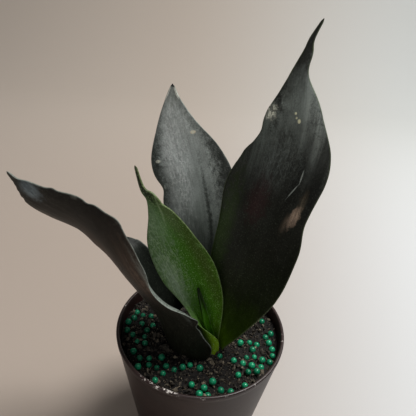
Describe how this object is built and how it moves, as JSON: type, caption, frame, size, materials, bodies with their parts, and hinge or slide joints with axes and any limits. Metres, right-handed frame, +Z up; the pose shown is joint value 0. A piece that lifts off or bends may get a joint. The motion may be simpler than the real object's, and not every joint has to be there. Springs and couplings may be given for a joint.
{
  "type": "potted snake plant",
  "caption": "Young snake plant with broad dark pointed leaves and one bright green new leaf, rooted in peat soil with fertiliser balls, in a tapered plastic nursery pot.",
  "frame": {"origin": "centre of the pot's flat underside", "axes": "+Z up along the pot's axis, +X across the fan of leaves towards the tallest leaf, +Y towards the side that the tall leaves turn their backs to"},
  "size_m": [0.14, 0.09, 0.2332],
  "materials": {
    "pot": "satin charcoal plastic with scuffs on the lip",
    "soil": "dark peat with fine brown fibres",
    "rhizome": "pale fibrous rootstock",
    "dark_leaf": "black-green leaf with a satin, faintly silvery sheen",
    "young_leaf": "bright green leaf with pale mottling and pale edges",
    "prill": "satin emerald resin coat"
  },
  "bodies": {
    "root": {"pot": "pot", "soil": "soil", "rhizome": "rhizome", "leaf_left": "dark_leaf", "leaf_back": "dark_leaf", "leaf_right": "dark_leaf", "leaf_young": "young_leaf", "leaf_spear": "young_leaf", "prill_01": "prill", "prill_02": "prill", "prill_03": "prill", "prill_04": "prill", "prill_05": "prill", "prill_06": "prill", "prill_07": "prill", "prill_08": "prill", "prill_09": "prill", "prill_10": "prill", "prill_11": "prill", "prill_12": "prill", "prill_13": "prill", "prill_14": "prill", "prill_15": "prill", "prill_16": "prill", "prill_17": "prill", "prill_18": "prill", "prill_19": "prill", "prill_20": "prill", "prill_21": "prill", "prill_22": "prill", "prill_23": "prill", "prill_24": "prill", "prill_25": "prill", "prill_26": "prill", "prill_27": "prill", "prill_28": "prill", "prill_29": "prill", "prill_30": "prill", "prill_31": "prill", "prill_32": "prill", "prill_33": "prill", "prill_34": "prill", "prill_35": "prill", "prill_36": "prill", "prill_37": "prill", "prill_38": "prill", "prill_39": "prill", "prill_40": "prill", "prill_41": "prill", "prill_42": "prill", "prill_43": "prill", "prill_44": "prill", "prill_45": "prill", "prill_46": "prill", "prill_47": "prill", "prill_48": "prill", "prill_49": "prill", "prill_50": "prill", "prill_51": "prill"}
  },
  "joints": []
}
